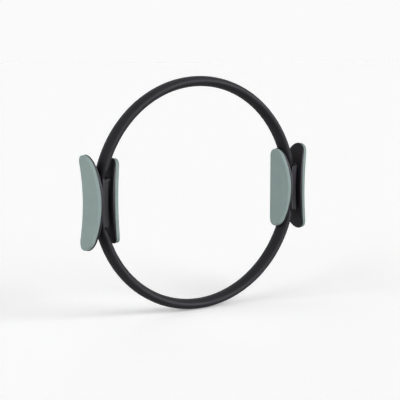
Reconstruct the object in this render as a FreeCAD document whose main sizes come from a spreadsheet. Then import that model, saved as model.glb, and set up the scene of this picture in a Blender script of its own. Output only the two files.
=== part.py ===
"""A pilates ring: a sprung, foam-covered hoop with two double-sided handles.

The hoop stands upright in the XZ plane with its axis along Y and its centre at the origin.
The handles sit at +X and -X. Each handle piece is drawn in a handle frame whose origin is on
the parting plane of the housing, with +X pointing from that plane towards the pad.
"""
import FreeCAD, Part
import os

import Sketcher

Vector = FreeCAD.Vector
Y_AXIS = Vector(0, 1, 0)
Z_AXIS = Vector(0, 0, 1)

# An edge is found by points along it that lie this near, in millimetres, to a face.
NEAR = 1e-3
EDGE_POINTS = 5

doc = FreeCAD.newDocument("pilates_ring")

# Driving dimensions in millimetres.
SIZES = {
    # Hoop: two spring leaves in a foam sleeve of oval section.
    "hoop_radius": 172.65,
    "sleeve_height": 15.6,
    "sleeve_width": 26.0,
    "sleeve_end_radius": 5.5,
    "leaf_width": 12.0,
    "leaf_thickness": 1.5,
    "leaf_butt_gap": 2.0,
    # Handle housing: barrel round the hoop and a wing on each side.
    "mouth_spacing": 69.0,
    "scallop_depth": 3.0,
    "scallop_radius": 9.0,
    "socket_depth": 8.0,
    "barrel_wall": 2.65,
    "floor_wall": 3.6,
    "side_wall": 1.8,
    "end_wall": 2.4,
    "barrel_corner_radius": 6.0,
    "root_radius": 1.5,
    "wing_root": 3.8,
    "wing_tip": 1.8,
    "wing_edge_radius": 1.0,
    "rim_reveal": 0.7,
    # Flat cheeks on the barrel's sides, split by the parting line of the shells.
    "cheek_wall": 4.2,
    "outer_cheek": 5.4,
    "inner_cheek": 4.2,
    "cheek_edge_radius": 1.0,
    "parting_bevel": 0.3,
    "rib_thickness": 2.4,
    "boss_diameter": 6.1,
    # Grip pads: boat-shaped outline, hollowed along the length.
    "grip_radius": 200.0,
    "pad_thickness": 6.3,
    "pad_edge_radius": 2.3,
    "outer_pad_width": 51.0,
    "inner_pad_narrower": 0.8,
    "outer_pad_length": 139.0,
    "outer_pad_end_radius": 19.5,
    "inner_pad_length": 125.0,
    "inner_pad_end_radius": 17.0,
    # Fasteners.
    "screw_diameter": 3.5,
    "screw_length": 16.0,
    "screw_tip": 2.0,
    "screw_head_diameter": 6.4,
    "screw_head_height": 2.2,
    "screw_head_bevel": 0.55,
    "rivet_diameter": 4.0,
    "rivet_head_diameter": 7.0,
    "rivet_head_height": 1.2,
    "rivet_edge": 6.0,
    # Clearances.
    "leaf_clearance": 0.1,
    "bore_clearance": 0.3,
    "channel_clearance": 0.3,
    "socket_clearance": 0.3,
    "glue_gap": 0.15,
    "head_cover": 0.4,
    "screw_clearance": 0.2,
    "rivet_clearance": 0.15,
    "tip_clearance": 0.5,
    # How far a tool shape runs past, or a rib into, the wall that it meets.
    "overrun": 2.0,
    "embed": 0.4,
}

# Places and sizes that follow from the driving dimensions.
FITS = {
    # The barrel's middle plane is the chord of the hoop between the two mouths.
    "handle_x": "sqrt(dims.hoop_radius^2 - (dims.mouth_spacing / 2)^2)",
    "chord_drop": "dims.hoop_radius - handle_x",
    "seat_offset": "dims.sleeve_height / 2 + dims.socket_clearance + dims.barrel_wall",
    "pad_back_radius": "dims.grip_radius + dims.pad_thickness",
    "seat_radius": "pad_back_radius + dims.glue_gap",
    "grip_centre": "seat_offset + seat_radius",
    # Boat outlines: an end arc on each end and a long arc down each side.
    "sleeve_end_centre": "dims.sleeve_width / 2 - dims.sleeve_end_radius",
    "sleeve_side_radius": "(sleeve_end_centre^2 + (dims.sleeve_height / 2)^2 - dims.sleeve_end_radius^2)"
    " / (dims.sleeve_height - 2 * dims.sleeve_end_radius)",
    "outer_end_centre": "dims.outer_pad_length / 2 - dims.outer_pad_end_radius",
    "outer_side_radius": "(outer_end_centre^2 + (dims.outer_pad_width / 2)^2 - dims.outer_pad_end_radius^2)"
    " / (dims.outer_pad_width - 2 * dims.outer_pad_end_radius)",
    "inner_end_centre": "dims.inner_pad_length / 2 - dims.inner_pad_end_radius",
    "inner_pad_width": "dims.outer_pad_width - dims.inner_pad_narrower",
    "inner_side_radius": "(inner_end_centre^2 + (inner_pad_width / 2)^2 - dims.inner_pad_end_radius^2)"
    " / (inner_pad_width - 2 * dims.inner_pad_end_radius)",
    # A wing thins from its root to its tip.
    "outer_reach": "dims.outer_pad_length / 2 + dims.rim_reveal",
    "outer_drop": "seat_radius - sqrt(seat_radius^2 - outer_reach^2)",
    "outer_rise": "outer_drop + dims.wing_root - dims.wing_tip",
    "outer_back_radius": "(outer_reach^2 + outer_rise^2) / (2 * outer_rise)",
    "outer_back_centre": "seat_offset - dims.wing_root + outer_back_radius",
    "inner_reach": "dims.inner_pad_length / 2 + dims.rim_reveal",
    "inner_drop": "seat_radius - sqrt(seat_radius^2 - inner_reach^2)",
    "inner_rise": "inner_drop + dims.wing_root - dims.wing_tip",
    "inner_back_radius": "(inner_reach^2 + inner_rise^2) / (2 * inner_rise)",
    "inner_back_centre": "seat_offset - dims.wing_root + inner_back_radius",
    "block_depth": "seat_offset + outer_drop + dims.overrun",
    # Barrel and its inside.
    "channel_half_width": "dims.leaf_width / 2 + dims.channel_clearance",
    "screw_y": "channel_half_width + dims.leaf_clearance + dims.boss_diameter / 2",
    "cavity_half_width": "screw_y + dims.boss_diameter / 2 - dims.embed",
    "barrel_half_width": "cavity_half_width + dims.side_wall",
    "barrel_half_length": "dims.mouth_spacing / 2 + dims.scallop_depth",
    "cheek_half_width": "dims.sleeve_width / 2 + dims.socket_clearance + dims.cheek_wall",
    "barrel_reach": "seat_offset + seat_radius - sqrt(seat_radius^2 - barrel_half_length^2)",
    "scallop_centre": "dims.mouth_spacing / 2 + dims.scallop_radius",
    "cavity_depth": "seat_offset - dims.floor_wall",
    "cavity_half_length": "dims.mouth_spacing / 2 - dims.socket_depth - dims.socket_clearance"
    " - dims.end_wall",
    # Leaves, and the channel that the shells leave for them.
    "pack_half": "dims.leaf_thickness + dims.leaf_clearance / 2",
    "channel_half": "pack_half + dims.channel_clearance",
    "sleeve_end_angle": "asin((dims.mouth_spacing / 2 - dims.socket_depth) / dims.hoop_radius)",
    "socket_floor_angle": "asin((dims.mouth_spacing / 2 - dims.socket_depth - dims.socket_clearance)"
    " / dims.hoop_radius)",
    "socket_open_angle": "asin((barrel_half_length + dims.overrun) / dims.hoop_radius)",
    # Rivets, the ribs that their heads bear on, and the screws in the cavity's corners.
    "rivet_offset": "dims.leaf_butt_gap / 2 + dims.rivet_edge",
    "rivet_angle": "asin(rivet_offset / dims.hoop_radius)",
    "rib_near": "rivet_offset + dims.rivet_head_diameter / 2 + dims.channel_clearance",
    "rib_far": "rib_near + dims.rib_thickness",
    "screw_z": "cavity_half_length - dims.boss_diameter / 2 + dims.embed",
    "head_seat": "seat_offset - dims.screw_head_height - dims.head_cover",
    "screw_reach": "dims.screw_length - head_seat",
}


def fill_sheet(name, cells):
    """A spreadsheet with one aliased cell per entry, a number or a formula."""
    sheet = doc.addObject("Spreadsheet::Sheet", name)
    for row, (alias, content) in enumerate(cells.items(), start=1):
        cell = f"A{row}"
        sheet.set(cell, f"={content}" if isinstance(content, str) else str(content))
        sheet.setAlias(cell, alias)
    doc.recompute()
    return sheet


dims = fill_sheet("dims", SIZES)
fits = fill_sheet("fits", FITS)


def new_body(label, turn_axis=Z_AXIS, turn=0, x_place=None):
    """A body named after its file, turned about an axis and moved along X."""
    body = doc.addObject("PartDesign::Body", label)
    body.Label = label
    body.Placement = FreeCAD.Placement(Vector(), FreeCAD.Rotation(turn_axis, turn))
    if x_place:
        body.setExpression("Placement.Base.x", x_place)
    return body


def new_sketch(body, name, plane, offset=None, turn=None):
    """A sketch on an origin plane, moved by expressions and turned about the plane's Y."""
    sketch = body.newObject("Sketcher::SketchObject", f"{body.Label}_{name}")
    support = next(f for f in body.Origin.OriginFeatures if f.Role == plane)
    sketch.AttachmentSupport = [(support, "")]
    sketch.MapMode = "FlatFace"
    if turn:
        sketch.AttachmentOffset = FreeCAD.Placement(Vector(), FreeCAD.Rotation(Y_AXIS, 1))
        sketch.setExpression("AttachmentOffset.Rotation.Angle", turn)
    for axis, expression in (offset or {}).items():
        sketch.setExpression(f"AttachmentOffset.Base.{axis}", expression)
    return sketch


def size_of(expression):
    """The present value of an expression, to draw a sketch near its solution."""
    return float(dims.evalExpression(expression))


def bind(sketch, constraint, expression):
    """Adds a dimension to a sketch and ties it to an expression."""
    index = sketch.addConstraint(constraint)
    sketch.setExpression(f"Constraints[{index}]", expression)


def place_point(sketch, geometry, point, x, y):
    """Fixes a point of a sketch at two expressions, None meaning on that axis."""
    if x is None:
        sketch.addConstraint(Sketcher.Constraint("PointOnObject", geometry, point, -2))
    else:
        bind(sketch, Sketcher.Constraint("DistanceX", -1, 1, geometry, point, size_of(x)), x)
    if y is None:
        sketch.addConstraint(Sketcher.Constraint("PointOnObject", geometry, point, -1))
    else:
        bind(sketch, Sketcher.Constraint("DistanceY", -1, 1, geometry, point, size_of(y)), y)


def draw_loop(sketch, points):
    """A closed loop of straight lines through points given as pairs of expressions."""
    corners = [Vector(size_of(x or "0"), size_of(y or "0"), 0) for x, y in points]
    count = len(corners)
    lines = [
        sketch.addGeometry(Part.LineSegment(corners[i], corners[(i + 1) % count])) for i in range(count)
    ]
    for i, line in enumerate(lines):
        sketch.addConstraint(Sketcher.Constraint("Coincident", line, 2, lines[(i + 1) % count], 1))
        place_point(sketch, line, 1, *points[i])


def draw_rectangle(sketch, left, right, bottom, top):
    draw_loop(sketch, [(left, bottom), (right, bottom), (right, top), (left, top)])


def draw_circle(sketch, x, y, radius):
    centre = Vector(size_of(x or "0"), size_of(y or "0"), 0)
    circle = sketch.addGeometry(Part.Circle(centre, Z_AXIS, size_of(radius)))
    place_point(sketch, circle, 3, x, y)
    bind(sketch, Sketcher.Constraint("Radius", circle, size_of(radius)), radius)


def draw_boat(sketch, end_centre, end_radius, side_radius, x=None):
    """A boat outline, long along the sketch's Y: two end arcs tangent to two long side arcs."""
    middle = Vector(size_of(x or "0"), 0, 0)
    reach = Vector(0, size_of(end_centre), 0)
    end_size = size_of(end_radius)
    side_size = size_of(side_radius)
    inset = Vector(((side_size - end_size) ** 2 - reach.y**2) ** 0.5, 0, 0)
    lean = Vector(inset.x, reach.y, 0).getAngle(Vector(1, 0, 0))
    half_turn = Vector(-1, 0, 0).getAngle(Vector(1, 0, 0))

    def arc(centre, radius, start, end):
        circle = Part.Circle(centre, Z_AXIS, radius)
        return sketch.addGeometry(Part.ArcOfCircle(circle, start, end))

    top = arc(middle + reach, end_size, lean, half_turn - lean)
    left = arc(middle + inset, side_size, half_turn - lean, half_turn + lean)
    bottom = arc(middle - reach, end_size, half_turn + lean, -lean)
    right = arc(middle - inset, side_size, -lean, lean)
    for first, second in ((top, left), (left, bottom), (bottom, right), (right, top)):
        sketch.addConstraint(Sketcher.Constraint("Tangent", first, 2, second, 1))
    place_point(sketch, top, 3, x, end_centre)
    bind(sketch, Sketcher.Constraint("Radius", top, end_size), end_radius)
    place_point(sketch, bottom, 3, x, f"-({end_centre})")
    sketch.addConstraint(Sketcher.Constraint("Equal", top, bottom))
    bind(sketch, Sketcher.Constraint("Radius", right, side_size), side_radius)
    sketch.addConstraint(Sketcher.Constraint("Equal", right, left))


def draw_behind_arc(sketch, centre, radius, half_height, left):
    """The area between a hollow arc, centred on the sketch's X axis, and a line to its left."""
    rise = size_of(half_height)
    arc_x = size_of(centre) - (size_of(radius) ** 2 - rise**2) ** 0.5
    top = Vector(arc_x, rise, 0)
    bottom = Vector(arc_x, -rise, 0)
    apex = Vector(size_of(centre) - size_of(radius), 0, 0)
    far_top = Vector(size_of(left), rise, 0)
    far_bottom = Vector(size_of(left), -rise, 0)
    curve = sketch.addGeometry(Part.Arc(top, apex, bottom))
    lower = sketch.addGeometry(Part.LineSegment(bottom, far_bottom))
    back = sketch.addGeometry(Part.LineSegment(far_bottom, far_top))
    upper = sketch.addGeometry(Part.LineSegment(far_top, top))
    chain = [(curve, 2, lower, 1), (lower, 2, back, 1), (back, 2, upper, 1), (upper, 2, curve, 1)]
    for link in chain:
        sketch.addConstraint(Sketcher.Constraint("Coincident", *link))
    sketch.addConstraint(Sketcher.Constraint("Horizontal", lower))
    sketch.addConstraint(Sketcher.Constraint("Horizontal", upper))
    place_point(sketch, curve, 3, centre, None)
    bind(sketch, Sketcher.Constraint("Radius", curve, size_of(radius)), radius)
    place_point(sketch, back, 1, left, f"-({half_height})")
    place_point(sketch, back, 2, left, half_height)


def add_pad(sketch, length, symmetric=False):
    body = sketch.getParentGeoFeatureGroup()
    pad = body.newObject("PartDesign::Pad", f"{sketch.Label}_pad")
    pad.Profile = sketch
    pad.Midplane = symmetric
    pad.setExpression("Length", length)
    doc.recompute()
    return pad


def add_pocket(sketch, depth=None, symmetric=False):
    """Cuts along the sketch's normal, to a depth or right through."""
    body = sketch.getParentGeoFeatureGroup()
    before = body.Shape.Volume
    pocket = body.newObject("PartDesign::Pocket", f"{sketch.Label}_pocket")
    pocket.Profile = sketch
    pocket.Midplane = symmetric
    pocket.Reversed = not symmetric
    if depth:
        pocket.setExpression("Length", depth)
    else:
        pocket.Type = "ThroughAll"
    doc.recompute()
    if body.Shape.Volume >= before:
        raise RuntimeError(f"{pocket.Label} cuts nothing")
    return pocket


def add_turned(sketch, axis, angle=None, kind="Revolution"):
    """Revolves a sketch about one of its own axes, evenly to both sides of its plane."""
    body = sketch.getParentGeoFeatureGroup()
    before = body.Shape.Volume if kind == "Groove" else None
    turned = body.newObject(f"PartDesign::{kind}", f"{sketch.Label}_turned")
    turned.Profile = sketch
    turned.ReferenceAxis = (sketch, [axis])
    if angle:
        turned.Midplane = True
        turned.setExpression("Angle", angle)
    doc.recompute()
    if before and body.Shape.Volume >= before:
        raise RuntimeError(f"{turned.Label} cuts nothing")
    return turned


def dress_edges(base, kind, wanted, size_name, size):
    """A fillet or a chamfer on the edges of a feature that pass a test."""
    body = base.getParentGeoFeatureGroup()
    names = [f"Edge{i}" for i, edge in enumerate(base.Shape.Edges, start=1) if wanted(edge)]
    dressed = body.newObject(f"PartDesign::{kind}", f"{base.Label}_{kind.lower()}")
    dressed.Base = (base, names)
    dressed.setExpression(size_name, size)
    doc.recompute()
    return dressed


def round_edges(base, wanted, radius):
    return dress_edges(base, "Fillet", wanted, "Radius", radius)


def bevel_edges(base, wanted, size):
    return dress_edges(base, "Chamfer", wanted, "Size", size)


def lies_on(edge, distance):
    """Whether a distance is zero at points spread along an edge."""
    return all(abs(distance(point)) < NEAR for point in edge.discretize(EDGE_POINTS))


def spring_leaf(label, inner_radius, outer_radius, split_side):
    """A flat strip rolled into a hoop, butted in one handle and drilled for the rivets."""
    body = new_body(label, turn=0 if split_side == "left" else 180)
    section = new_sketch(body, "section", "XY_Plane")
    half_width = "dims.leaf_width / 2"
    draw_rectangle(section, inner_radius, outer_radius, f"-{half_width}", half_width)
    add_turned(section, "V_Axis", "360 deg - 2 * asin(dims.leaf_butt_gap / 2 / dims.hoop_radius)")
    holes = new_sketch(body, "holes", "YZ_Plane")
    hole_radius = "dims.rivet_diameter / 2 + dims.rivet_clearance"
    for side in ("", "-"):
        draw_circle(holes, None, f"{side}fits.rivet_offset", hole_radius)
    add_pocket(holes, symmetric=True)
    return body


def foam_sleeve(label, turn):
    """An oval foam tube, bored for the leaves, from the socket of one handle to the other's."""
    body = new_body(label, Y_AXIS, turn)
    section = new_sketch(body, "section", "XY_Plane")
    draw_boat(
        section,
        "fits.sleeve_end_centre",
        "dims.sleeve_end_radius",
        "fits.sleeve_side_radius",
        "dims.hoop_radius",
    )
    bore_half = "fits.pack_half + dims.bore_clearance"
    bore_half_width = "dims.leaf_width / 2 + dims.bore_clearance"
    draw_rectangle(
        section,
        f"dims.hoop_radius - ({bore_half})",
        f"dims.hoop_radius + {bore_half}",
        f"-({bore_half_width})",
        bore_half_width,
    )
    add_turned(section, "V_Axis", "180 deg - 2 * fits.sleeve_end_angle")
    return body


def handle_body(side, piece, faces_out):
    """A body in a handle's frame, facing away from the hoop's centre or towards it."""
    outward = 0 if side == "right" else 180
    turn = outward if faces_out else 180 - outward
    x_place = "fits.handle_x" if side == "right" else "-fits.handle_x"
    return new_body(f"{side}_{piece}", turn=turn, x_place=x_place)


def hoop_sketch(body, name, faces_out, angle="0 deg"):
    """A sketch through the hoop's axis, its X pointing out from the axis at an angle to the handle."""
    if faces_out:
        return new_sketch(body, name, "XY_Plane", {"x": "-fits.handle_x"}, f"-({angle})")
    return new_sketch(body, name, "XY_Plane", {"x": "fits.handle_x"}, f"180 deg - ({angle})")


def from_arc(centre, radius):
    """The distance from a cylinder whose axis runs along Y through a point on X."""
    axis_x = size_of(centre)
    size = size_of(radius)
    return lambda p: ((p.x - axis_x) ** 2 + p.z**2) ** 0.5 - size


def wing_blank(body, wing):
    """A boat-shaped block with a curved, round-edged back, still flat where the pad will sit."""
    outline = new_sketch(body, "outline", "YZ_Plane")
    draw_boat(
        outline,
        f"fits.{wing}_end_centre",
        f"dims.{wing}_pad_end_radius + dims.rim_reveal",
        f"fits.{wing}_side_radius + dims.rim_reveal",
    )
    add_pad(outline, "fits.block_depth")
    back = (f"fits.{wing}_back_centre", f"fits.{wing}_back_radius")
    behind = new_sketch(body, "behind", "XZ_Plane")
    draw_behind_arc(behind, *back, f"fits.{wing}_reach + dims.overrun", "-dims.overrun")
    curved = add_pocket(behind, symmetric=True)
    on_back = from_arc(*back)
    round_edges(curved, lambda edge: lies_on(edge, on_back), "dims.wing_edge_radius")


def barrel_on_wing(body, wing):
    """Half of the barrel, rounded at its corners and blended into the wing's back."""
    foot = new_sketch(body, "foot", "YZ_Plane")
    half_width = "fits.barrel_half_width"
    half_length = "fits.barrel_half_length"
    draw_rectangle(foot, f"-{half_width}", half_width, f"-{half_length}", half_length)
    barrel = add_pad(foot, "fits.barrel_reach")
    width = size_of(half_width)
    length = size_of(half_length)
    on_back = from_arc(f"fits.{wing}_back_centre", f"fits.{wing}_back_radius")

    def at_corner(edge):
        return lies_on(edge, lambda p: abs(p.y) - width) and lies_on(edge, lambda p: abs(p.z) - length)

    def at_root(edge):
        return lies_on(edge, on_back) and lies_on(
            edge, lambda p: max(abs(p.y) - width, abs(p.z) - length, 0)
        )

    corners = round_edges(barrel, at_corner, "dims.barrel_corner_radius")
    round_edges(corners, at_root, "dims.root_radius")


def add_cheeks(body, wing):
    """A flat raised panel on each side of the barrel, bevelled where the two shells meet."""
    panel = new_sketch(body, "cheeks", "XZ_Plane")
    depth = f"dims.{wing}_cheek"
    half_length = "fits.barrel_half_length"
    draw_rectangle(panel, None, depth, f"-{half_length}", half_length)
    cheeks = add_pad(panel, "2 * fits.cheek_half_width", symmetric=True)
    face = size_of("fits.cheek_half_width")
    edge_x = size_of(depth)

    def on_face(edge):
        return lies_on(edge, lambda p: abs(p.y) - face)

    rounded = round_edges(
        cheeks,
        lambda edge: on_face(edge) and lies_on(edge, lambda p: p.x - edge_x),
        "dims.cheek_edge_radius",
    )
    bevel_edges(
        rounded,
        lambda edge: on_face(edge) and lies_on(edge, lambda p: p.x),
        "dims.parting_bevel",
    )


def hollow_barrel(body, faces_out):
    """Scalloped mouths, the cavity with its ribs and bosses, the leaf channel and the sockets."""
    scallops = new_sketch(body, "scallops", "XZ_Plane")
    for end in ("", "-"):
        draw_circle(scallops, None, f"{end}fits.scallop_centre", "dims.scallop_radius")
    add_pocket(scallops, symmetric=True)
    cavity = new_sketch(body, "cavity", "YZ_Plane")
    half_width = "fits.cavity_half_width"
    half_length = "fits.cavity_half_length"
    draw_rectangle(cavity, f"-{half_width}", half_width, f"-{half_length}", half_length)
    add_pocket(cavity, "fits.cavity_depth")
    add_ribs(body, "ribs", None, f"2 * ({half_width} + dims.embed)")
    if not faces_out:
        add_ribs(body, "saddles", "-fits.chord_drop", "dims.leaf_width")
    bosses = new_sketch(body, "bosses", "YZ_Plane")
    draw_at_screws(bosses, "dims.boss_diameter / 2")
    add_pad(bosses, "fits.cavity_depth + dims.embed")
    channel = hoop_sketch(body, "channel", faces_out)
    inner_edge = "fits.channel_half" if not faces_out else "fits.seat_offset"
    outer_edge = "fits.channel_half" if faces_out else "fits.seat_offset"
    draw_rectangle(
        channel,
        f"dims.hoop_radius - {inner_edge}",
        f"dims.hoop_radius + {outer_edge}",
        "-fits.channel_half_width",
        "fits.channel_half_width",
    )
    add_turned(channel, "V_Axis", "2 * fits.socket_open_angle", "Groove")
    for end in (1, -1):
        middle = f"{end} * (fits.socket_floor_angle + fits.socket_open_angle) / 2"
        socket = hoop_sketch(body, "upper_socket" if end > 0 else "lower_socket", faces_out, middle)
        draw_boat(
            socket,
            "fits.sleeve_end_centre",
            "dims.sleeve_end_radius + dims.socket_clearance",
            "fits.sleeve_side_radius + dims.socket_clearance",
            "dims.hoop_radius",
        )
        add_turned(socket, "V_Axis", "fits.socket_open_angle - fits.socket_floor_angle", "Groove")


def add_ribs(body, name, top, width):
    """Two ribs across the cavity, one beyond each rivet, from its floor up to a height."""
    ribs = new_sketch(body, name, "XZ_Plane")
    floor = "fits.cavity_depth + dims.embed"
    draw_rectangle(ribs, top, floor, "fits.rib_near", "fits.rib_far")
    draw_rectangle(ribs, top, floor, "-fits.rib_far", "-fits.rib_near")
    add_pad(ribs, width, symmetric=True)


def draw_at_screws(sketch, radius):
    """A circle at each of the four screws."""
    for side in ("", "-"):
        for end in ("", "-"):
            draw_circle(sketch, f"{side}fits.screw_y", f"{end}fits.screw_z", radius)


def cut_pad_seat(body):
    """The hollow face that the pad is glued to."""
    seat = new_sketch(body, "seat", "XZ_Plane")
    draw_circle(seat, "fits.grip_centre", None, "fits.seat_radius")
    add_pocket(seat, symmetric=True)


def outer_shell(side):
    """The outer half of the housing, with blind holes that the screws bite into."""
    body = handle_body(side, "outer_shell", faces_out=True)
    wing_blank(body, "outer")
    barrel_on_wing(body, "outer")
    add_cheeks(body, "outer")
    cut_pad_seat(body)
    hollow_barrel(body, faces_out=True)
    pilots = new_sketch(body, "pilots", "YZ_Plane")
    draw_at_screws(pilots, "dims.screw_diameter / 2")
    add_pocket(pilots, "fits.screw_reach + dims.tip_clearance")
    return body


def inner_shell(side):
    """The inner half of the housing, counterbored for the screw heads under the pad."""
    body = handle_body(side, "inner_shell", faces_out=False)
    wing_blank(body, "inner")
    barrel_on_wing(body, "inner")
    add_cheeks(body, "inner")
    cut_pad_seat(body)
    hollow_barrel(body, faces_out=False)
    holes = new_sketch(body, "holes", "YZ_Plane")
    draw_at_screws(holes, "dims.screw_diameter / 2 + dims.screw_clearance")
    add_pocket(holes)
    counterbores = new_sketch(body, "counterbores", "YZ_Plane", {"z": "fits.head_seat"})
    draw_at_screws(counterbores, "dims.screw_head_diameter / 2 + dims.screw_clearance")
    add_pocket(counterbores)
    return body


def grip_pad(side, wing):
    """A pad of even thickness that follows the wing, with a rounded edge round its face."""
    body = handle_body(side, f"{wing}_pad", faces_out=wing == "outer")
    outline = new_sketch(body, "outline", "YZ_Plane")
    draw_boat(outline, f"fits.{wing}_end_centre", f"dims.{wing}_pad_end_radius", f"fits.{wing}_side_radius")
    add_pad(outline, "fits.block_depth + dims.pad_thickness")
    behind = new_sketch(body, "behind", "XZ_Plane")
    half_height = f"fits.{wing}_reach + dims.overrun"
    draw_behind_arc(behind, "fits.grip_centre", "fits.pad_back_radius", half_height, "-dims.overrun")
    add_pocket(behind, symmetric=True)
    face = new_sketch(body, "face", "XZ_Plane")
    draw_circle(face, "fits.grip_centre", None, "dims.grip_radius")
    hollowed = add_pocket(face, symmetric=True)
    on_face = from_arc("fits.grip_centre", "dims.grip_radius")
    round_edges(hollowed, lambda edge: lies_on(edge, on_face), "dims.pad_edge_radius")
    return body


def mirrored_set(label, first, planes):
    """One node of identical fasteners: the first one and its mirror images."""
    group = [first]
    for normal in planes:
        images = []
        for source in group:
            image = doc.addObject("Part::Mirroring", f"{source.Name}_image")
            image.Source = source
            image.Normal = normal
            images.append(image)
        group += images
    compound = doc.addObject("Part::Compound", label)
    compound.Label = label
    compound.Links = group
    return compound


def shell_screws(side):
    """Four pan-head screws, driven from under the inner pad into the outer shell."""
    label = f"{side}_screws"
    first = new_body(f"{label}_first", turn=180 if side == "right" else 0)
    sign = "" if side == "right" else "-"
    first.setExpression("Placement.Base.x", f"{sign}fits.handle_x")
    profile = new_sketch(first, "profile", "XY_Plane", {"y": "fits.screw_y", "z": "fits.screw_z"})
    radius = "dims.screw_diameter / 2"
    head_radius = "dims.screw_head_diameter / 2"
    bevel = "dims.screw_head_bevel"
    head_top = "fits.head_seat + dims.screw_head_height"
    points = [
        ("-fits.screw_reach", None),
        (head_top, None),
        (head_top, f"{head_radius} - {bevel}"),
        (f"{head_top} - {bevel}", head_radius),
        ("fits.head_seat", head_radius),
        ("fits.head_seat", radius),
        ("dims.screw_tip - fits.screw_reach", radius),
    ]
    draw_loop(profile, points)
    add_turned(profile, "H_Axis")
    return mirrored_set(label, first, (Y_AXIS, Z_AXIS))


def leaf_rivets(side):
    """Two flat-head rivets through both leaves, each square to the hoop where it sits."""
    label = f"{side}_leaf_rivets"
    first = new_body(f"{label}_first", turn=0 if side == "right" else 180)
    profile = new_sketch(first, "profile", "XY_Plane", turn="-fits.rivet_angle")
    radius = "dims.rivet_diameter / 2"
    head_radius = "dims.rivet_head_diameter / 2"
    grip = "(fits.pack_half + dims.leaf_clearance)"
    head = f"({grip} + dims.rivet_head_height)"
    points = [
        (f"dims.hoop_radius - {head}", None),
        (f"dims.hoop_radius + {head}", None),
        (f"dims.hoop_radius + {head}", head_radius),
        (f"dims.hoop_radius + {grip}", head_radius),
        (f"dims.hoop_radius + {grip}", radius),
        (f"dims.hoop_radius - {grip}", radius),
        (f"dims.hoop_radius - {grip}", head_radius),
        (f"dims.hoop_radius - {head}", head_radius),
    ]
    draw_loop(profile, points)
    add_turned(profile, "H_Axis")
    return mirrored_set(label, first, (Z_AXIS,))


pieces = [
    spring_leaf(
        "outer_leaf",
        "dims.hoop_radius + dims.leaf_clearance / 2",
        "dims.hoop_radius + fits.pack_half",
        "left",
    ),
    spring_leaf(
        "inner_leaf",
        "dims.hoop_radius - fits.pack_half",
        "dims.hoop_radius - dims.leaf_clearance / 2",
        "right",
    ),
    foam_sleeve("upper_sleeve", -90),
    foam_sleeve("lower_sleeve", 90),
]
for side in ("left", "right"):
    pieces += [
        outer_shell(side),
        inner_shell(side),
        grip_pad(side, "outer"),
        grip_pad(side, "inner"),
        shell_screws(side),
        leaf_rivets(side),
    ]

doc.recompute()
for item in doc.Objects:
    if "Invalid" in item.State or "Error" in item.State:
        raise RuntimeError(f"{item.Label} failed: {item.State}")
for piece in pieces:
    if piece.Shape.isNull() or not piece.Shape.isValid():
        raise RuntimeError(f"{piece.Label} has no valid shape")

os.makedirs("parts", exist_ok=True)
for piece in pieces:
    piece.Shape.exportStep(f"parts/{piece.Label}.step")
    print(f"{piece.Label}: {len(piece.Shape.Solids)} solids, {piece.Shape.Volume:.0f} mm3")
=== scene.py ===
import math

import bmesh
import bpy
from mathutils import Matrix, Vector


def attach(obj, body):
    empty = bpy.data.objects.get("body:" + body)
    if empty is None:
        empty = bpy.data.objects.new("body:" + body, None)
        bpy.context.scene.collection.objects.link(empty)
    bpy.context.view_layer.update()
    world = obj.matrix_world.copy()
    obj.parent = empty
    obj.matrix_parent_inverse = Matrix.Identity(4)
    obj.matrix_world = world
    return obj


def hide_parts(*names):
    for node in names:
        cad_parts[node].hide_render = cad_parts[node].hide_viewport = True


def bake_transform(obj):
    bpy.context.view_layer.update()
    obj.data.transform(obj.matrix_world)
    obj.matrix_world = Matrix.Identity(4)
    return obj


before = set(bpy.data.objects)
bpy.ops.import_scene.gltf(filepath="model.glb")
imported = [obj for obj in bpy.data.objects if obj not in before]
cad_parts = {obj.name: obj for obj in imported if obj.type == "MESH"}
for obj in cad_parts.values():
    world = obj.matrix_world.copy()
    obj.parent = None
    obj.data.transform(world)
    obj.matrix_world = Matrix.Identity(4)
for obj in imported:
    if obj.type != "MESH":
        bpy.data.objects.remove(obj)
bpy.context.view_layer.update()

# Spring leaves: two tempered strips of blued steel, rolled into hoops that lie one inside the other.
# They are drilled and riveted inside the handles, and bend between them when the ring is pressed.
HOOP = "hoop_with_left_handle"
HANDLE = "right_handle"
hoop_radius = 0.17265
weld_distance = 1e-6
leaf_crease = 30
patch_low = 0.3
patch_high = 0.7
bump_strength = 0.5


def surface_grain():
    """A node group with the broad patches and the fine grain that every moulded or rolled surface has."""
    group = bpy.data.node_groups.new("surface_grain", "ShaderNodeTree")
    group.interface.new_socket("Patch Scale", in_out="INPUT", socket_type="NodeSocketFloat")
    group.interface.new_socket("Grain Scale", in_out="INPUT", socket_type="NodeSocketFloat")
    group.interface.new_socket("Patches", in_out="OUTPUT", socket_type="NodeSocketFloat")
    group.interface.new_socket("Grain", in_out="OUTPUT", socket_type="NodeSocketFloat")
    nodes = group.nodes
    link = group.links.new
    inputs = nodes.new("NodeGroupInput")
    outputs = nodes.new("NodeGroupOutput")
    place = nodes.new("ShaderNodeTexCoord")
    patches = nodes.new("ShaderNodeTexNoise")
    patches.inputs["Detail"].default_value = 4
    patches.inputs["Roughness"].default_value = 0.55
    grain = nodes.new("ShaderNodeTexNoise")
    grain.inputs["Detail"].default_value = 3
    grain.inputs["Roughness"].default_value = 0.6
    for texture, scale in ((patches, "Patch Scale"), (grain, "Grain Scale")):
        link(place.outputs["Object"], texture.inputs["Vector"])
        link(inputs.outputs[scale], texture.inputs["Scale"])
    link(patches.outputs["Fac"], outputs.inputs["Patches"])
    link(grain.outputs["Fac"], outputs.inputs["Grain"])
    return group


grain_group = surface_grain()


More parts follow.
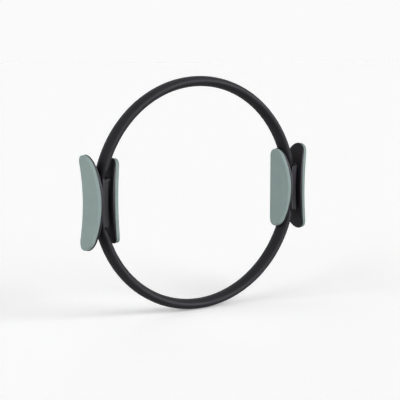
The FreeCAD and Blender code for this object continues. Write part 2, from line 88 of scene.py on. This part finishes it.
def new_finish(name, light, dark, roughness, gloss, patch_scale, grain_scale, relief):
    """A material that runs between two tones and two roughnesses in patches, with fine relief."""
    finish = bpy.data.materials.new(name)
    finish.use_nodes = True
    nodes = finish.node_tree.nodes
    link = finish.node_tree.links.new
    surface = nodes["Principled BSDF"]
    surface.inputs["Specular IOR Level"].default_value = gloss
    grain = nodes.new("ShaderNodeGroup")
    grain.node_tree = grain_group
    grain.inputs["Patch Scale"].default_value = patch_scale
    grain.inputs["Grain Scale"].default_value = grain_scale
    tone = nodes.new("ShaderNodeValToRGB")
    tone.color_ramp.elements[0].position = patch_low
    tone.color_ramp.elements[0].color = (*dark, 1)
    tone.color_ramp.elements[1].position = patch_high
    tone.color_ramp.elements[1].color = (*light, 1)
    polish = nodes.new("ShaderNodeMapRange")
    polish.inputs["From Min"].default_value = patch_low
    polish.inputs["From Max"].default_value = patch_high
    polish.inputs["To Min"].default_value = roughness[0]
    polish.inputs["To Max"].default_value = roughness[1]
    bump = nodes.new("ShaderNodeBump")
    bump.inputs["Strength"].default_value = bump_strength
    bump.inputs["Distance"].default_value = relief
    link(grain.outputs["Patches"], tone.inputs["Fac"])
    link(grain.outputs["Patches"], polish.inputs["Value"])
    link(grain.outputs["Grain"], bump.inputs["Height"])
    link(tone.outputs["Color"], surface.inputs["Base Color"])
    link(polish.outputs["Result"], surface.inputs["Roughness"])
    link(bump.outputs["Normal"], surface.inputs["Normal"])
    return finish


blued_steel = new_finish(
    "blued_steel",
    light=(0.34, 0.35, 0.38),
    dark=(0.24, 0.25, 0.29),
    roughness=(0.28, 0.42),
    gloss=0.5,
    patch_scale=40,
    grain_scale=900,
    relief=0.00002,
)
blued_steel.node_tree.nodes["Principled BSDF"].inputs["Metallic"].default_value = 1


def hoop_streaks():
    """A node group with fine lines that run along the hoop, as rolling and extruding leave them."""
    group = bpy.data.node_groups.new("hoop_streaks", "ShaderNodeTree")
    group.interface.new_socket("Along", in_out="INPUT", socket_type="NodeSocketFloat")
    group.interface.new_socket("Across", in_out="INPUT", socket_type="NodeSocketFloat")
    group.interface.new_socket("Streaks", in_out="OUTPUT", socket_type="NodeSocketFloat")
    nodes = group.nodes
    link = group.links.new
    inputs = nodes.new("NodeGroupInput")
    outputs = nodes.new("NodeGroupOutput")
    place = nodes.new("ShaderNodeTexCoord")
    split = nodes.new("ShaderNodeSeparateXYZ")
    angle = nodes.new("ShaderNodeMath")
    angle.operation = "ARCTAN2"
    flat = nodes.new("ShaderNodeCombineXYZ")
    radius = nodes.new("ShaderNodeVectorMath")
    radius.operation = "LENGTH"
    unrolled = nodes.new("ShaderNodeCombineXYZ")
    lines = nodes.new("ShaderNodeTexNoise")
    lines.inputs["Scale"].default_value = 1
    lines.inputs["Detail"].default_value = 3
    link(place.outputs["Object"], split.inputs["Vector"])
    link(split.outputs["Z"], angle.inputs[0])
    link(split.outputs["X"], angle.inputs[1])
    link(split.outputs["X"], flat.inputs["X"])
    link(split.outputs["Z"], flat.inputs["Z"])
    link(flat.outputs["Vector"], radius.inputs[0])
    sources = (angle.outputs["Value"], split.outputs["Y"], radius.outputs["Value"])
    for source, axis, scale in zip(sources, "XYZ", ("Along", "Across", "Across")):
        scaled = nodes.new("ShaderNodeMath")
        scaled.operation = "MULTIPLY"
        link(source, scaled.inputs[0])
        link(inputs.outputs[scale], scaled.inputs[1])
        link(scaled.outputs["Value"], unrolled.inputs[axis])
    link(unrolled.outputs["Vector"], lines.inputs["Vector"])
    link(lines.outputs["Fac"], outputs.inputs["Streaks"])
    return group


streak_group = hoop_streaks()


def lay_over(finish, pattern, values, shade, relief):
    """Darkens a finish and sinks its surface where a pattern's first output is high. Along streaks the
    darkening is the finish's own tone; in sunk pits it is painted shade.
    """
    nodes = finish.node_tree.nodes
    link = finish.node_tree.links.new
    surface = nodes["Principled BSDF"]
    marks = nodes.new("ShaderNodeGroup")
    marks.node_tree = pattern
    for socket, value in values.items():
        marks.inputs[socket].default_value = value
    darker = nodes.new("ShaderNodeMix")
    darker.data_type = "RGBA"
    darker.blend_type = "MULTIPLY"
    darker.inputs["B"].default_value = (shade, shade, shade, 1)
    sunk = nodes.new("ShaderNodeBump")
    sunk.invert = True
    sunk.inputs["Strength"].default_value = bump_strength
    sunk.inputs["Distance"].default_value = relief
    link(marks.outputs[0], darker.inputs["Factor"])
    link(surface.inputs["Base Color"].links[0].from_socket, darker.inputs["A"])
    link(marks.outputs[0], sunk.inputs["Height"])
    link(surface.inputs["Normal"].links[0].from_socket, sunk.inputs["Normal"])
    link(darker.outputs["Result"], surface.inputs["Base Color"])
    link(sunk.outputs["Normal"], surface.inputs["Normal"])


lay_over(blued_steel, streak_group, {"Along": 8, "Across": 4000}, shade=0.75, relief=0.00001)


def add_piece(name, shape, finish, sharp_angle):
    """Turns a bmesh into an object of one material, shaded smooth up to an angle in degrees."""
    mesh = bpy.data.meshes.new(name)
    shape.to_mesh(mesh)
    shape.free()
    mesh.polygons.foreach_set("use_smooth", [True] * len(mesh.polygons))
    mesh.set_sharp_from_angle(angle=math.radians(sharp_angle))
    mesh.materials.append(finish)
    piece = bpy.data.objects.new(name, mesh)
    bpy.context.scene.collection.objects.link(piece)
    return piece


for leaf_name in ("outer_leaf", "inner_leaf"):
    strip = bmesh.new()
    strip.from_mesh(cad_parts[leaf_name].data)
    bmesh.ops.remove_doubles(strip, verts=strip.verts, dist=weld_distance)
    leaf = add_piece(f"{leaf_name}_strip", strip, blued_steel, sharp_angle=leaf_crease)
    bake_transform(leaf)
    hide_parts(leaf_name)

# Foam sleeves: two oval tubes of charcoal closed-cell foam with a matte skin, slipped over the leaves before
# the handles go on. The handles clamp their ends, which draws the foam in where it enters the mouths.
sleeve_height = 0.0156
sleeve_width = 0.0260
sleeve_end_radius = 0.0055
bore_height = 0.0037
bore_width = 0.0126
sleeve_end_angle = math.radians(8.83)
mouth_height = 0.0345
pinch_length = 0.014
pinched_size = 0.80
side_steps = 10
nose_steps = 8
sweep_steps = 220
sleeve_crease = 45

charcoal_foam = new_finish(
    "charcoal_foam",
    light=(0.0236, 0.0230, 0.0262),
    dark=(0.0185, 0.0180, 0.0206),
    roughness=(0.54, 0.64),
    gloss=0.058,
    patch_scale=28,
    grain_scale=1500,
    relief=0.00006,
)
lay_over(charcoal_foam, streak_group, {"Along": 9, "Across": 900}, shade=0.72, relief=0.00010)


def foam_cells():
    """A node group with the small scattered pits in the skin of a closed-cell foam."""
    group = bpy.data.node_groups.new("foam_cells", "ShaderNodeTree")
    group.interface.new_socket("Scale", in_out="INPUT", socket_type="NodeSocketFloat")
    group.interface.new_socket("Pits", in_out="OUTPUT", socket_type="NodeSocketFloat")
    nodes = group.nodes
    link = group.links.new
    inputs = nodes.new("NodeGroupInput")
    outputs = nodes.new("NodeGroupOutput")
    place = nodes.new("ShaderNodeTexCoord")
    cells = nodes.new("ShaderNodeTexVoronoi")
    pit = nodes.new("ShaderNodeMapRange")
    pit.inputs["From Min"].default_value = 0.15
    pit.inputs["From Max"].default_value = 0.40
    pit.inputs["To Min"].default_value = 1
    pit.inputs["To Max"].default_value = 0
    chosen = nodes.new("ShaderNodeSeparateColor")
    some = nodes.new("ShaderNodeMath")
    some.operation = "MULTIPLY"
    link(place.outputs["Object"], cells.inputs["Vector"])
    link(inputs.outputs["Scale"], cells.inputs["Scale"])
    link(cells.outputs["Distance"], pit.inputs["Value"])
    link(cells.outputs["Color"], chosen.inputs["Color"])
    link(pit.outputs["Result"], some.inputs[0])
    link(chosen.outputs["Red"], some.inputs[1])
    link(some.outputs["Value"], outputs.inputs["Pits"])
    return group


cell_group = foam_cells()
# The pits are sunk by bump, and their darker colour is painted shade inside them.
lay_over(charcoal_foam, cell_group, {"Scale": 1100}, shade=0.55, relief=0.00012)

sleeve_end_centre = sleeve_width / 2 - sleeve_end_radius
half_height = sleeve_height / 2
sleeve_side_radius = (sleeve_end_centre**2 + half_height**2 - sleeve_end_radius**2) / (
    sleeve_height - 2 * sleeve_end_radius
)
sleeve_side_centre = sleeve_side_radius - half_height
sleeve_lean = math.atan2(sleeve_end_centre, sleeve_side_centre)


def swing_vertex(shape, vertex, centre, axis, angle, steps):
    """Draws an arc by swinging a vertex round a centre, and returns the vertex at its end."""
    swung = bmesh.ops.spin(shape, geom=[vertex], cent=centre, axis=axis, angle=angle, steps=steps)
    return next(part for part in swung["geom_last"] if isinstance(part, bmesh.types.BMVert))


def draw_in_ends(tube):
    """Narrows the foam, but not its bore, over the last stretch before each handle's mouth."""
    for vertex in tube.verts:
        radial = Vector((vertex.co.x, 0, vertex.co.z))
        middle = radial.normalized() * hoop_radius
        in_bore = abs(vertex.co.y) < sleeve_end_centre and (radial - middle).length < bore_height
        past_mouth = max((abs(vertex.co.z) - mouth_height) / pinch_length, 0)
        if not in_bore and past_mouth < 1:
            ease = past_mouth**2 * (3 - 2 * past_mouth)
            vertex.co = middle.lerp(vertex.co, pinched_size + (1 - pinched_size) * ease)


def foam_tube(name, turn):
    """An oval section with its bore, swept along the hoop from one handle to the other."""
    tube = bmesh.new()
    axis = (0, 0, 1)
    corner = tube.verts.new((hoop_radius + half_height, 0, 0))
    arcs = (
        (hoop_radius - sleeve_side_centre, 0, sleeve_lean, side_steps),
        (hoop_radius, sleeve_end_centre, math.pi - 2 * sleeve_lean, nose_steps),
        (hoop_radius + sleeve_side_centre, 0, 2 * sleeve_lean, 2 * side_steps),
        (hoop_radius, -sleeve_end_centre, math.pi - 2 * sleeve_lean, nose_steps),
        (hoop_radius - sleeve_side_centre, 0, sleeve_lean, side_steps),
    )
    for x, y, angle, steps in arcs:
        corner = swing_vertex(tube, corner, (x, y, 0), axis, angle, steps)
    bmesh.ops.remove_doubles(tube, verts=tube.verts, dist=weld_distance)
    bore = [
        tube.verts.new((hoop_radius + x * bore_height / 2, y * bore_width / 2, 0))
        for x, y in ((1, 1), (-1, 1), (-1, -1), (1, -1))
    ]
    for i, vertex in enumerate(bore):
        tube.edges.new((vertex, bore[i - 1]))
    start = list(tube.edges)
    to_start = Matrix.Rotation(-turn - sleeve_end_angle, 3, "Y")
    bmesh.ops.rotate(tube, verts=tube.verts, cent=(0, 0, 0), matrix=to_start)
    swept = bmesh.ops.spin(
        tube,
        geom=list(tube.verts) + start,
        cent=(0, 0, 0),
        axis=(0, -1, 0),
        angle=math.pi - 2 * sleeve_end_angle,
        steps=sweep_steps,
    )
    last = [part for part in swept["geom_last"] if isinstance(part, bmesh.types.BMEdge)]
    bmesh.ops.bridge_loops(tube, edges=start)
    bmesh.ops.bridge_loops(tube, edges=last)
    draw_in_ends(tube)
    bmesh.ops.recalc_face_normals(tube, faces=tube.faces)
    return add_piece(name, tube, charcoal_foam, sharp_angle=sleeve_crease)


for sleeve_name, turn in (("upper_sleeve", 0), ("lower_sleeve", math.pi)):
    sleeve = foam_tube(f"{sleeve_name}_foam", turn)
    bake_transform(sleeve)
    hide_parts(sleeve_name)

# Leaf rivets and shell screws: zinc-plated steel. The rivets tie the two leaves together in each handle,
# and the screws draw the two halves of its housing onto them.
zinc_steel = new_finish(
    "zinc_steel",
    light=(0.60, 0.60, 0.61),
    dark=(0.48, 0.48, 0.50),
    roughness=(0.25, 0.40),
    gloss=0.5,
    patch_scale=120,
    grain_scale=2500,
    relief=0.00002,
)
zinc_steel.node_tree.nodes["Principled BSDF"].inputs["Metallic"].default_value = 1
for side in ("left", "right"):
    for fastener in ("leaf_rivets", "screws"):
        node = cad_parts[f"{side}_{fastener}"]
        node.data.materials.clear()
        node.data.materials.append(zinc_steel)

# Handle housings: two shells each, injection moulded in black plastic with a fine satin grain. They close
# round the hoop as a short barrel and spread into the wings that carry the pads.
black_plastic = new_finish(
    "black_plastic",
    light=(0.0176, 0.0169, 0.0194),
    dark=(0.0145, 0.0139, 0.0160),
    roughness=(0.46, 0.54),
    gloss=0.077,
    patch_scale=60,
    grain_scale=2200,
    relief=0.00004,
)
for side in ("left", "right"):
    for shell in ("outer_shell", "inner_shell"):
        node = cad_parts[f"{side}_{shell}"]
        node.data.materials.clear()
        node.data.materials.append(black_plastic)

# Grip pads: sage-green soft foam, moulded to a boat-shaped outline with a rounded rim and hollowed along
# the length. Each is glued to the seat of its wing, the longer pair outside and the shorter pair inside.
handle_x = 0.16917
seat_offset = 0.01075
glue_gap = 0.00015
pad_thickness = 0.0063
pad_edge_radius = 0.0023
grip_radius = 0.200
outer_pad = {"length": 0.1390, "width": 0.0510, "end_radius": 0.0195}
inner_pad = {"length": 0.1250, "width": 0.0502, "end_radius": 0.0170}
outline_side_steps = 14
outline_end_steps = 24
rim_steps = 6
cut_spacing = 0.004
cut_tolerance = 1e-7
pad_crease = 50

sage_foam = new_finish(
    "sage_foam",
    light=(0.282, 0.356, 0.341),
    dark=(0.262, 0.332, 0.318),
    roughness=(0.72, 0.82),
    gloss=0.04,
    patch_scale=45,
    grain_scale=1800,
    relief=0.00006,
)
# The pits in the pad's skin are sunk by bump, and their darker colour is painted shade inside them.
lay_over(sage_foam, cell_group, {"Scale": 1500}, shade=0.84, relief=0.00012)


def boat_outline(shape, length, width, end_radius):
    """A closed outline in the YZ plane: two end arcs tangent to two long side arcs."""
    axis = (1, 0, 0)
    end_centre = length / 2 - end_radius
    side_radius = (end_centre**2 + (width / 2) ** 2 - end_radius**2) / (width - 2 * end_radius)
    side_centre = side_radius - width / 2
    lean = math.atan2(end_centre, side_centre)
    arcs = (
        (-side_centre, 0, lean, outline_side_steps),
        (0, end_centre, math.pi - 2 * lean, outline_end_steps),
        (side_centre, 0, 2 * lean, 2 * outline_side_steps),
        (0, -end_centre, math.pi - 2 * lean, outline_end_steps),
        (-side_centre, 0, lean, outline_side_steps),
    )
    vertex = shape.verts.new((0, width / 2, 0))
    for y, z, angle, steps in arcs:
        vertex = swing_vertex(shape, vertex, (0, y, z), axis, angle, steps)
    bmesh.ops.remove_doubles(shape, verts=shape.verts, dist=weld_distance)


def grip_pad(name, length, width, end_radius, handle_side, facing):
    """A flat pad with a rounded rim, cut across and then hollowed along its length."""
    pad = bmesh.new()
    boat_outline(pad, length, width, end_radius)
    back = bmesh.ops.contextual_create(pad, geom=list(pad.edges))["faces"]
    raised = bmesh.ops.extrude_face_region(pad, geom=back)["geom"]
    rim = [part for part in raised if isinstance(part, bmesh.types.BMEdge)]
    face_verts = [part for part in raised if isinstance(part, bmesh.types.BMVert)]
    bmesh.ops.translate(pad, verts=face_verts, vec=(pad_thickness, 0, 0))
    bmesh.ops.bevel(
        pad,
        geom=rim,
        offset=pad_edge_radius,
        offset_type="OFFSET",
        affect="EDGES",
        segments=rim_steps,
        profile=0.5,
        material=-1,
    )
    cuts = int(length / cut_spacing)
    for i in range(1, cuts):
        bmesh.ops.bisect_plane(
            pad,
            geom=list(pad.verts) + list(pad.edges) + list(pad.faces),
            dist=cut_tolerance,
            plane_co=(0, 0, length * (i / cuts - 0.5)),
            plane_no=(0, 0, 1),
        )
    back_radius = grip_radius + pad_thickness
    centre = seat_offset + glue_gap + back_radius
    for vertex in pad.verts:
        radius = back_radius - vertex.co.x
        hollow = centre - math.sqrt(radius**2 - vertex.co.z**2)
        vertex.co.x = handle_side * handle_x + facing * hollow
    bmesh.ops.recalc_face_normals(pad, faces=pad.faces)
    piece = add_piece(name, pad, sage_foam, sharp_angle=pad_crease)
    piece.modifiers.new("even_face", "WEIGHTED_NORMAL").keep_sharp = True
    return piece


for side, handle_side, body in (("left", -1, HOOP), ("right", 1, HANDLE)):
    for place, outward, sizes in (("outer_pad", 1, outer_pad), ("inner_pad", -1, inner_pad)):
        pad_name = f"{side}_{place}"
        pad = grip_pad(f"{pad_name}_foam", **sizes, handle_side=handle_side, facing=handle_side * outward)
        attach(pad, body)
        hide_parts(pad_name)

# Studio: a pale floor that the ring stands on and a backdrop of the same tone. Wide soft lamps stand at the
# front right, at the left and, weaker, behind. A bright card right of the camera shows only as sheen.
floor_level = -0.18045
floor_reach = 60
floor_tone = 0.90
backdrop_tone = 0.956
ambient_level = 0.10
key_direction = Vector((-0.45, 0.75, -0.48)).normalized()
key_strength = 2.3
key_spread = 50
fill_direction = Vector((0.90, 0.08, -0.43)).normalized()
fill_strength = 1.78
fill_spread = 50
back_direction = Vector((-0.08, -0.86, -0.50)).normalized()
back_strength = 0.5
back_spread = 55
card_direction = Vector((-0.52, 0.84, -0.08)).normalized()
card_strength = 22
card_spread = 70
card_tint = (0.96, 0.93, 1.0)


def add_lamp(name, direction, strength, spread):
    """A distant lamp of a given width in degrees, shining along a direction."""
    lamp = bpy.data.objects.new(name, bpy.data.lights.new(name, "SUN"))
    lamp.data.energy = strength
    lamp.data.angle = math.radians(spread)
    lamp.rotation_mode = "QUATERNION"
    lamp.rotation_quaternion = direction.to_track_quat("-Z", "Y")
    bpy.context.scene.collection.objects.link(lamp)
    return lamp


lamps = (
    ("right_key", key_direction, key_strength, key_spread),
    ("left_fill", fill_direction, fill_strength, fill_spread),
    ("back_light", back_direction, back_strength, back_spread),
)
floor_light = ambient_level
for lamp_name, direction, strength, spread in lamps:
    add_lamp(lamp_name, direction, strength, spread)
    floor_light -= strength * direction.z / math.pi
sheen_card = add_lamp("sheen_card", card_direction, card_strength, card_spread)
sheen_card.data.color = card_tint
sheen_card.visible_diffuse = False


def backdrop_rays(nodes, link):
    """One where the camera, a reflection or glass looks at the backdrop, and zero for the light it gives."""
    rays = nodes.new("ShaderNodeLightPath")
    mirrored = nodes.new("ShaderNodeMath")
    mirrored.operation = "MAXIMUM"
    seen = nodes.new("ShaderNodeMath")
    seen.operation = "MAXIMUM"
    link(rays.outputs["Is Glossy Ray"], mirrored.inputs[0])
    link(rays.outputs["Is Transmission Ray"], mirrored.inputs[1])
    link(rays.outputs["Is Camera Ray"], seen.inputs[0])
    link(mirrored.outputs["Value"], seen.inputs[1])
    return seen.outputs["Value"]


floor_shape = bmesh.new()
bmesh.ops.create_grid(floor_shape, x_segments=1, y_segments=1, size=floor_reach)
bmesh.ops.translate(floor_shape, verts=floor_shape.verts, vec=(0, 0, floor_level))
pale_floor = bpy.data.materials.new("pale_floor")
pale_floor.use_nodes = True
floor_nodes = pale_floor.node_tree.nodes
floor_link = pale_floor.node_tree.links.new
floor_surface = floor_nodes["Principled BSDF"]
floor_surface.inputs["Base Color"].default_value = (floor_tone, floor_tone, floor_tone, 1)
floor_surface.inputs["Roughness"].default_value = 1
floor_surface.inputs["Specular IOR Level"].default_value = 0
floor_surface.inputs["Emission Color"].default_value = (1, 1, 1, 1)
floor_glow = floor_nodes.new("ShaderNodeMath")
floor_glow.operation = "MULTIPLY"
floor_glow.inputs[1].default_value = backdrop_tone - floor_tone * floor_light
floor_link(backdrop_rays(floor_nodes, floor_link), floor_glow.inputs[0])
floor_link(floor_glow.outputs["Value"], floor_surface.inputs["Emission Strength"])
floor = add_piece("floor", floor_shape, pale_floor, sharp_angle=30)

world = bpy.data.worlds.new("studio")
bpy.context.scene.world = world
world.use_nodes = True
world_nodes = world.node_tree.nodes
world_link = world.node_tree.links.new
ambient = world_nodes["Background"]
ambient.inputs["Color"].default_value = (1, 1, 1, 1)
ambient.inputs["Strength"].default_value = ambient_level
backdrop = world_nodes.new("ShaderNodeBackground")
backdrop.inputs["Color"].default_value = (1, 1, 1, 1)
backdrop.inputs["Strength"].default_value = backdrop_tone
choice = world_nodes.new("ShaderNodeMixShader")
world_link(backdrop_rays(world_nodes, world_link), choice.inputs["Fac"])
world_link(ambient.outputs["Background"], choice.inputs[1])
world_link(backdrop.outputs["Background"], choice.inputs[2])
world_link(choice.outputs["Shader"], world_nodes["World Output"].inputs["Surface"])

# Camera: a long lens in front of the ring, to its left and a little above its middle, which it looks at.
# The lens is shifted so that the ring sits in the frame as in the photograph.
camera_lens = bpy.data.cameras.new("camera")
camera_lens.lens = 90.99
camera_lens.sensor_width = 36
camera_lens.shift_x = 0.0021
camera_lens.shift_y = -0.0159
camera = bpy.data.objects.new("camera", camera_lens)
camera.location = (-0.8180, -1.3107, 0.2092)
camera.rotation_mode = "QUATERNION"
camera.rotation_quaternion = (-camera.location).to_track_quat("-Z", "Y")
bpy.context.scene.collection.objects.link(camera)
bpy.context.scene.camera = camera
bpy.context.scene.view_settings.view_transform = "Standard"
